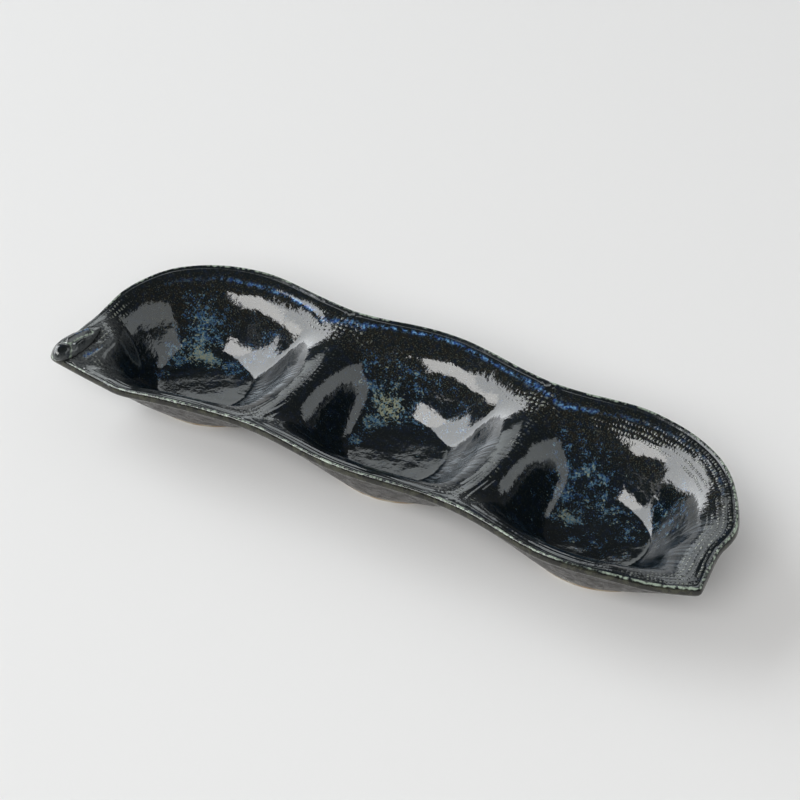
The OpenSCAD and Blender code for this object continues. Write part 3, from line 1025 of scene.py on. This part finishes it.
# Grains of broken glaze, from coarse to fine: waves in a metre, share
GRAINS = ((620.0, 0.9), (1150.0, 1.0), (2200.0, 0.8))
GRAIN_LEVEL = 0.70

# Uneven surface of the glaze: waves in a metre, detail, depth in mm
GLAZE_WAVES = (230.0, 2.0, 0.12)
GLAZE_PEEL = (520.0, 2.0, 0.045)
GLAZE_FINE = (1700.0, 1.0, 0.014)
STREAK_DEPTH = 0.28
GLAZE_IOR = 1.5
OUTER_IOR = 1.2
BARE_ROUGHNESS = 0.85


def speckled(n, base, place, density):
    """Grains of blue, cyan and cream where the glaze broke."""
    cream = n.mark("cream")
    clump = n.times_plus(n.noise(place, 260.0, 3.0), 0.5, -0.25)
    for scale, share in GRAINS:
        grain = n.noise(place, scale, 3.0, 0.65)
        wanted = n.times_plus(density, 0.22 * share, clump)
        above = n.math("SUBTRACT", n.plus(grain, wanted), GRAIN_LEVEL)
        there = n.times(n.spread(above, 0.0, 0.035), n.spread(density, 0.02, 0.25))
        tone = n.times_plus(n.noise(place, 0.8 * scale, 1.0), 4.4, -2.4)
        pale = n.plus(n.plus(tone, cream), n.times(above, 1.2))
        tint = n.mix(n.spread(pale, -0.35, 0.4), BLUE_GRAIN, CYAN_GRAIN)
        tint = n.mix(n.spread(pale, 0.35, 0.95), tint, CREAM_GRAIN)
        base = n.mix(there, base, tint)
    return base


def dark_glaze(n, place):
    """Black glaze with navy, brown and olive in it."""
    mottle = n.spread(n.noise(place, 420.0, 3.0), 0.45, 0.8)
    base = n.mix(mottle, DEEP, NAVY)
    umber = n.times(n.mark("brown"), n.spread(n.noise(place, 900.0, 2.0), 0.4, 0.65))
    base = n.mix(umber, base, BROWN_BLACK)
    fleck = n.spread(n.noise(place, 1900.0, 2.0, 0.6), 0.56, 0.70)
    more = n.times_plus(n.mark("brown"), 0.6, 0.4)
    return n.mix(n.times(fleck, more), base, OLIVE)


# Pale streaks of glaze, partly a painted reflection on the walls
def drawn_streaks_and_reflection(n, base):
    drawn_and_reflection = n.noise(n.vmath("MULTIPLY", n.vector("flow"), (1.0, 1.0, 0.10)), 1.5, 3.0, 0.6)
    pale = n.times(n.mark("drawn_and_reflection"), n.spread(drawn_and_reflection, 0.42, 0.62))
    return n.mix(n.times(pale, 0.8), base, SCRAPED_AND_REFLECTION)


# Rubbed grey glaze; on the stalk it is partly a painted sheen
def worn_and_sheen_patches(n, base, place):
    patchy = n.spread(n.noise(place, 900.0, 3.0, 0.65), 0.32, 0.6, 0.25, 1.0)
    return n.mix(n.times(n.mark("worn_and_sheen"), patchy), base, WORN_AND_SHEEN)


def blue_line(n, base, place):
    streak = n.noise(place, 420.0, 4.0, 0.7)
    line = n.times(n.mark("blue"), n.spread(streak, 0.42, 0.58))
    sky = n.mix(n.spread(n.noise(place, 1100.0, 2.0), 0.44, 0.58), COBALT, SKY)
    return n.mix(line, base, sky)


def cloth_dots(n):
    """Height and paleness of the dots that the cloth left in the clay; the paleness is thinner glaze and
    partly painted glints.
    """
    weave = n.vector("weave")
    wander = n.noise(weave, 0.35, 1.0)
    shifted = n.vmath("ADD", weave, n.vmath("SCALE", (0.6, 1.0, 0.0), scale=wander))
    grid = n.vmath("MULTIPLY", shifted, (1 / CLOTH_PITCH, 1 / CLOTH_ROWS, 1.0))
    luck = n.chance(n.vmath("FLOOR", grid))
    aside = n.vmath("SCALE", (0.25, 0.15, 0.0), scale=n.math("SUBTRACT", luck, 0.5))
    middle = n.vmath("SUBTRACT", n.vmath("FRACTION", grid), (0.5, 0.5, 0.0))
    middle = n.vmath("ADD", middle, aside)
    middle = n.vmath("MULTIPLY", middle, (CLOTH_PITCH, CLOTH_ROWS, 0.0))
    dot = n.spread(n.vmath("LENGTH", middle), DOT_RADIUS, DOT_FLAT)
    print_left = n.times_plus(n.noise(n.place(), 170.0, 2.0), 0.8, n.mark("cloth"))
    kept = n.times(dot, n.spread(print_left, 0.6, 1.1))
    # Random dots made pale: partly painted glints
    pale_and_glint = n.times(kept, n.spread(luck, 0.3, 0.9))
    return kept, pale_and_glint


def rim_colour(n, base, place):
    """Celadon where the glaze thins on the crest, partly a painted highlight there, olive and brown on the
    outer edge, and a pale line on the lower edge that is partly a painted highlight.
    """
    patchy = n.spread(n.noise(place, 330.0, 4.0, 0.65), 0.42, 0.62)
    base = n.mix(n.mark("edge"), base, n.mix(patchy, EDGE_BLACK, EDGE_OLIVE))
    # The crest's celadon line is partly a painted highlight
    ragged = n.spread(n.noise(place, 700.0, 3.0), 0.3, 0.7, 0.3, 1.25)
    crest = n.math("MULTIPLY", n.mark("thin_and_highlight"), ragged, clamp=True)
    base = n.mix(n.spread(crest, 0.3, 0.9), base, CELADON_AND_HIGHLIGHT)
    # Pale line on the lower edge, partly a painted highlight
    return n.mix(n.times(n.mark("lower"), 0.5), base, LOWER_PALE_AND_HIGHLIGHT)


def bare_clay(n, base, place):
    grit = n.spread(n.noise(place, 1500.0, 3.0), 0.3, 0.7, 0.8, 1.1)
    return n.mix(n.mark("bare"), base, n.mix(grit, SHADED_CLAY, BARE_CLAY))


def glaze_relief(n, place, dots):
    """Height in mm of the waves, the streaks and the cloth print."""
    wave, peel, fine = (n.times(n.noise(place, scale, detail), depth)
                        for scale, detail, depth in (GLAZE_WAVES, GLAZE_PEEL, GLAZE_FINE))
    height = n.times_plus(dots, DOT_RISE, n.plus(wave, n.plus(peel, fine)))
    streaks = n.noise(n.vmath("MULTIPLY", n.vector("flow"), (1.0, 1.0, 0.12)), 1.1, 3.0)
    return n.times_plus(streaks, n.times(n.mark("drawn_and_reflection"), STREAK_DEPTH), height)


def glaze_material(name, roughness):
    """Dark glossy glaze with its marks, and bare clay at the base."""
    n = Nodes(name)
    place = n.place()
    base = dark_glaze(n, place)
    base = speckled(n, base, place, n.mark("speckle"))
    base = drawn_streaks_and_reflection(n, base)
    base = worn_and_sheen_patches(n, base, place)
    base = blue_line(n, base, place)
    dots, pale_and_glint = cloth_dots(n)
    # Pale dot tops, partly painted glints
    base = n.mix(n.times(pale_and_glint, 0.6), base, DOT_PALE_AND_GLINT)
    base = rim_colour(n, base, place)
    n.set("Base Color", bare_clay(n, base, place))
    haze = n.spread(n.noise(place, 260.0, 3.0), 0.35, 0.75, roughness, roughness + 0.07)
    n.set("Roughness", n.math("MAXIMUM", haze, n.times(n.mark("bare"), BARE_ROUGHNESS)))
    n.set("IOR", GLAZE_IOR)
    n.bump(glaze_relief(n, place, dots))
    return n.material


def outer_material():
    """Thinner brown-black glaze under the rim, lighter where the glaze thins at the feet, with a pale line
    on the rim's lower edge that is partly a painted highlight.
    """
    n = Nodes("outer_glaze")
    place = n.place()
    run = n.noise(n.vmath("MULTIPLY", place, (1.0, 1.0, 0.3)), 260.0, 3.0)
    base = n.mix(n.spread(run, 0.35, 0.7), OUTER_BLACK, OUTER_BROWN)
    # Pale line on the rim's lower edge, partly a painted highlight
    base = n.mix(n.times(n.mark("lower"), 0.55), base, OUTER_PALE_AND_HIGHLIGHT)
    n.set("Base Color", n.mix(n.spread(n.mark("hem"), 0.3, 1.0), base, HEM_BROWN))
    n.set("Roughness", n.spread(n.noise(place, 300.0, 2.0), 0.3, 0.7, 0.2, 0.38))
    n.set("IOR", OUTER_IOR)
    n.bump(n.times(n.noise(place, 600.0, 2.0), 0.03))
    return n.material


def foot_material():
    """Bare stoneware, sandy and slightly toasted."""
    n = Nodes("bare_foot")
    place = n.place()
    toast = n.spread(n.noise(place, 160.0, 3.0), 0.35, 0.7)
    base = n.mix(toast, BARE_CLAY, TOASTED_CLAY)
    sand = n.spread(n.noise(place, 2600.0, 2.0), 0.6, 0.75)
    n.set("Base Color", n.mix(n.times(sand, 0.4), base, SAND))
    n.set("Roughness", BARE_ROUGHNESS)
    n.bump(n.times(n.noise(place, 1800.0, 3.0), 0.08))
    return n.material


def floor_material():
    """Pale matt paper."""
    n = Nodes("floor_paper")
    grain = n.spread(n.noise(n.place(), 900.0, 2.0), 0.3, 0.7)
    n.set("Base Color", n.mix(n.times(grain, 0.02), FLOOR_GREY, FLOOR_GRAIN))
    n.set("Roughness", 0.9)
    n.set("Specular IOR Level", 0.2)
    return n.material


# Thin edges of the glaze coats, in mm
LEAST_INNER = 0.03
LEAST_OUTER = 0.02
INNER_SOFT = 2.0
OUTER_SOFT = 3.0

# Ground that the inner coat leaves free under the stalk: its ends along the stalk and its half width, in mm
FREE_FROM = -2.0
FREE_TO = STALK_LENGTH - 3.0
FREE_HALF = 0.35 * STALK_WIDTH

# Hem of the outer coat at the feet: level where it turns brown, level where it thins, share that is left
HEM_LEVEL = 6.9
HEM_SOFT = 0.1
THIN_HEM_LEVEL = 6.96
THIN_HEM_SHARE = 0.7


# Glaze coats
def add_coat(pod, kept, thickness, marks, vectors, material, slot):
    points, shell, used = coat(pod.centred, pod.normals, kept, thickness)
    add_piece(slot + "_coat", points, shell, taken(marks, used), taken(vectors, used), material, slot)


def build_inner_glaze(pod, marks, vectors, material):
    """Coat on the wells, clear of the stalk."""
    faces = pod.faces
    off_edge = pod.inset[faces].mean(1) > COAT_EDGE
    way, aside = stalk_frame(pod.points)
    under_stalk = (way > FREE_FROM) & (way < FREE_TO) & (np.abs(aside) < FREE_HALF)
    kept = faces[(pod.regions == WELL) & off_edge & ~under_stalk[faces].any(1)]
    thickness = COAT_THICKNESS * rising(pod.inset, COAT_EDGE, INNER_SOFT) + LEAST_INNER
    add_coat(pod, kept, thickness, marks, vectors, material, "inner_glaze")


def build_outer_glaze(pod, marks, material):
    """Coat on the underside and the cups."""
    kept = pod.faces[(pod.regions == UNDER) | (pod.regions == CUP)]
    under_rim = pod.level < UNDER_LEVEL + LEVEL_SLACK
    share = np.where(under_rim, rising(pod.inset, EDGE_BULGE, OUTER_SOFT), 1.0)
    thickness = COAT_THICKNESS * share + LEAST_OUTER
    thickness *= np.where(pod.level > THIN_HEM_LEVEL, THIN_HEM_SHARE, 1.0)
    # The lower mark is a pale line, partly a painted highlight
    own = {"lower": marks["lower"], "hem": rising(pod.level, HEM_LEVEL, HEM_SOFT)}
    add_coat(pod, kept, thickness, own, {}, material, "outer_glaze")


# Section of a foot ring: inset from the outline of the cup's base, height
RING_SECTION = (
    (0.0, FOOT_HEIGHT), (-0.12, 1.1), (-0.05, 0.6), (0.2, 0.2), (0.7, 0.0), (2.2, 0.0),
    (FOOT_RING_WIDTH - 0.7, 0.0), (FOOT_RING_WIDTH - 0.2, 0.2), (FOOT_RING_WIDTH, 0.6),
    (FOOT_RING_WIDTH + 0.05, 1.1), (FOOT_RING_WIDTH, FOOT_HEIGHT), (2.2, FOOT_HEIGHT),
)


def build_foot_ring(well, name, material):
    edge = well_loop(well, True)
    loops = []
    for inset, height in RING_SECTION:
        loop = foot_loop(well, edge, inset)
        loops.append(np.column_stack([loop, np.full(len(loop), height)]))
    columns = np.stack(loops, 1) - np.array([*MIDDLE, 0.0])
    points = columns.reshape(-1, 3)
    index = np.arange(len(points)).reshape(columns.shape[:2])
    quads = quads_of(np.pad(index, ((0, 1), (0, 1)), "wrap"))
    add_piece(name + "_bare", points, quads, {}, {}, material, name)


# Stalk: a knob with a slit on its back, a hollow in its outer end, and a dent and a fold on its side
KNOB_FLATNESS = 0.72
KNOB_NOISE = 0.1
SLIT = ((9.0, 0.4), (19.0, -0.2))
SLIT_DEPTH = 1.3
SLIT_LIP = 0.45
SLIT_LIP_AT = 1.6
HOLLOW_MIDDLE = (3.8, -0.9)
HOLLOW_REACH = (3.3, 2.9)
HOLLOW_DEPTH = 1.7
DENT = ((9.5, -3.2), (13.0, -3.0))
DENT_DEPTH = 0.9
KNOB_FOLD = ((10.0, -4.8), (18.0, -4.2))
KNOB_FOLD_RISE = 0.4


def knob_form():
    """Points of the plain knob: way along it, way across it and height."""
    u = np.linspace(0.004, 0.996, KNOB_STEPS)
    radius = STALK_WIDTH / 2 * np.sin(np.pi * u ** 0.7) ** 0.7
    angle = np.linspace(0, np.pi, KNOB_SIDES)
    along = np.broadcast_to((u * STALK_LENGTH)[:, None], (KNOB_STEPS, KNOB_SIDES))
    across = radius[:, None] * np.cos(angle)
    height = KNOB_FLATNESS * radius[:, None] * np.sin(angle) ** 0.6
    return np.stack([along, across, height], -1).reshape(-1, 3)


def knob_faces():
    index = np.arange(KNOB_STEPS * KNOB_SIDES).reshape(KNOB_STEPS, KNOB_SIDES)
    back = quads_of(index)[:, [0, 3, 2, 1]]
    under = np.stack([index[:-1, 0], index[:-1, -1], index[1:, -1], index[1:, 0]], -1)
    outer = index[0]
    inner = index[-1]
    k = np.arange(1, KNOB_SIDES - 1)
    outer_end = np.stack([outer[k + 1], np.full(len(k), outer[0]), outer[k], outer[k]], -1)
    inner_end = np.stack([inner[k], np.full(len(k), inner[0]), inner[k + 1], inner[k + 1]], -1)
    return np.vstack([back, under, outer_end, inner_end])


def on_seat(knob):
    """Points of the knob on its seat."""
    foot, turn = stalk_axis()
    x = foot[0] - MIDDLE[0] + knob[:, 0] * math.cos(turn) - knob[:, 1] * math.sin(turn)
    y = foot[1] - MIDDLE[1] + knob[:, 0] * math.sin(turn) + knob[:, 1] * math.cos(turn)
    return np.column_stack([x, y, knob[:, 2] + SEAT_HEIGHT])


def build_stalk(material):
    plain = knob_form()
    faces = knob_faces()
    seen = plain[:, :2]
    slit = segment_distance(seen, *SLIT)
    hollow = length((seen - np.array(HOLLOW_MIDDLE)) / np.array(HOLLOW_REACH))
    in_hollow = np.exp(-hollow ** 4)
    dent = segment_distance(seen, *DENT)
    fold = segment_distance(seen, *KNOB_FOLD)
    push = -SLIT_DEPTH * bell(slit, 0, 0.8) + SLIT_LIP * bell(slit, SLIT_LIP_AT, 0.5)
    push += -HOLLOW_DEPTH * in_hollow - DENT_DEPTH * bell(dent, 0, 1.0) + KNOB_FOLD_RISE * bell(fold, 0, 0.7)
    push += KNOB_NOISE * value_noise(plain, 3.0, 4)
    above = rising(plain[:, 2], 0, 0.8)
    knob = plain + normals_of(plain, faces) * (above * push)[:, None]
    knob[:, 2] = np.maximum(knob[:, 2], 0.0)
    points = on_seat(knob)
    unmarked = ("speckle", "cream", "cloth", "bare", "lower", "edge", "drawn_and_reflection")
    marks = {key: np.zeros(len(points)) for key in unmarked}
    marks["brown"] = np.full(len(points), 0.3)
    # Lighter grey over most of the knob: partly rubbed glaze, partly a painted sheen for its highlights
    marks["worn_and_sheen"] = 1.6 * (1 - in_hollow) * (1 - bell(dent, 0, 1.1)) * (1 - bell(slit, 0, 0.6))
    marks["blue"] = 0.8 * bell(slit, 0, 0.4) * (knob[:, 0] > 12)
    # Pale lips of the slit and the hollow: thin glaze, partly painted highlights
    marks["thin_and_highlight"] = np.maximum(bell(slit, SLIT_LIP_AT, 0.55), 0.8 * bell(hollow, 1.2, 0.16))
    vectors = {"flow": points, "weave": points}
    add_piece("stalk_knob", points, faces, marks, vectors, material, "stalk")


def build_dish():
    pod = Pod()
    marks = glaze_marks(pod)
    vectors = {"flow": flow_of(pod), "weave": weave_of(pod)}
    rim_glaze = glaze_material("rim_glaze", 0.14)
    add_piece("pod_body_fine", pod.centred, pod.faces, marks, vectors, rim_glaze, "pod_body")
    build_inner_glaze(pod, marks, vectors, glaze_material("inner_glaze", 0.05))
    build_outer_glaze(pod, marks, outer_material())
    bare = foot_material()
    for well, name in enumerate(("foot_ring_left", "foot_ring_middle", "foot_ring_right")):
        build_foot_ring(well, name, bare)
    build_stalk(glaze_material("stalk_glaze", 0.12))


# Floor
FLOOR_HALF = 6.0


def build_floor():
    mesh = bpy.data.meshes.new("floor")
    corners = [(x * FLOOR_HALF, y * FLOOR_HALF, 0) for x, y in ((-1, -1), (1, -1), (1, 1), (-1, 1))]
    mesh.from_pydata(corners, [], [(0, 1, 2, 3)])
    mesh.materials.append(floor_material())
    floor = bpy.data.objects.new("floor", mesh)
    bpy.context.scene.collection.objects.link(floor)


# Light panels: name, azimuth span, elevation span, radiance for gloss, radiance for matt surfaces, colour
CARD_WHITE = (0.93, 0.99, 1.0)
PANELS = (
    ("window_white", (214, 254), (26, 51), 10.0, 0.15, (1.0, 1.0, 0.985)),
    ("window_blue", (157, 214), (3, 52), 7.0, 3.2, (0.95, 0.98, 1.0)),
    ("card_front", (-10, 24), (20, 37.0), 1.8, 0.0, CARD_WHITE),
    ("card_right", (24, 57), (17, 37.5), 1.8, 0.0, CARD_WHITE),
    ("card_back", (107, 145), (8, 37.9), 1.8, 0.0, CARD_WHITE),
    ("front_light", (254, 315), (28, 55), 0.0, 6.0, (1.0, 0.99, 0.98)),
)
PANEL_DISTANCE = 3.0
MATT_NEARER = 0.97

# Level of the room round the panels: what lights matt surfaces, and what gloss mirrors
ROOM_GREY = 0.24
ROOM_GLOSS = 0.10


def build_panel(name, azimuths, elevations, gloss, matt, colour):
    """One lamp that gloss mirrors and, a little nearer, one that lights matt surfaces."""
    middle = math.radians(sum(azimuths) / 2)
    kinds = (("gloss", gloss, PANEL_DISTANCE), ("matt", matt, MATT_NEARER * PANEL_DISTANCE))
    for kind, radiance, away in kinds:
        if radiance == 0:
            continue
        width = 2 * away * math.tan(math.radians(azimuths[1] - azimuths[0]) / 2)
        low, high = (away * math.tan(math.radians(e)) for e in elevations)
        lamp = bpy.data.lights.new(name + "_" + kind, "AREA")
        lamp.shape = "RECTANGLE"
        lamp.size = width
        lamp.size_y = high - low
        lamp.energy = radiance * math.pi * width * (high - low)
        lamp.color = colour
        holder = bpy.data.objects.new(lamp.name, lamp)
        holder.location = (away * math.cos(middle), away * math.sin(middle), (low + high) / 2)
        holder.rotation_euler = (math.pi / 2, 0, middle + math.pi / 2)
        holder.visible_diffuse = kind == "matt"
        holder.visible_glossy = kind == "gloss"
        bpy.context.scene.collection.objects.link(holder)


def build_room():
    """Panels in a grey room, which is darker where gloss mirrors it."""
    world = bpy.data.worlds.new("room")
    world.use_nodes = True
    tree = world.node_tree
    level = tree.nodes.new("ShaderNodeMapRange")
    level.inputs["To Min"].default_value = ROOM_GREY
    level.inputs["To Max"].default_value = ROOM_GLOSS
    mirrored = tree.nodes.new("ShaderNodeLightPath").outputs["Is Glossy Ray"]
    tree.links.new(mirrored, level.inputs["Value"])
    background = tree.nodes["Background"]
    background.inputs["Color"].default_value = rgb(1, 1, 1)
    tree.links.new(level.outputs["Result"], background.inputs["Strength"])
    bpy.context.scene.world = world
    for panel in PANELS:
        build_panel(*panel)


# Camera: metres, degrees, and mm for the lens
CAMERA_TARGET = (-0.01084, 0.01436, 0.020)
CAMERA_DISTANCE = 0.8
CAMERA_ELEVATION = 38.813
CAMERA_YAW = 31.008
CAMERA_LENS = 94.86
CAMERA_SENSOR = 36.0
CAMERA_NEAR = 0.01


def build_camera():
    lift = math.radians(CAMERA_ELEVATION)
    yaw = math.radians(CAMERA_YAW)
    away = Vector((math.cos(lift) * math.sin(yaw), -math.cos(lift) * math.cos(yaw), math.sin(lift)))
    lens = bpy.data.cameras.new("photo_view")
    lens.lens = CAMERA_LENS
    lens.sensor_width = CAMERA_SENSOR
    lens.clip_start = CAMERA_NEAR
    view = bpy.data.objects.new("photo_view", lens)
    view.location = Vector(CAMERA_TARGET) + CAMERA_DISTANCE * away
    view.rotation_euler = (-away).to_track_quat("-Z", "Y").to_euler()
    bpy.context.scene.collection.objects.link(view)
    bpy.context.scene.camera = view


build_dish()
build_floor()
build_room()
build_camera()
bpy.context.scene.view_settings.view_transform = "Standard"
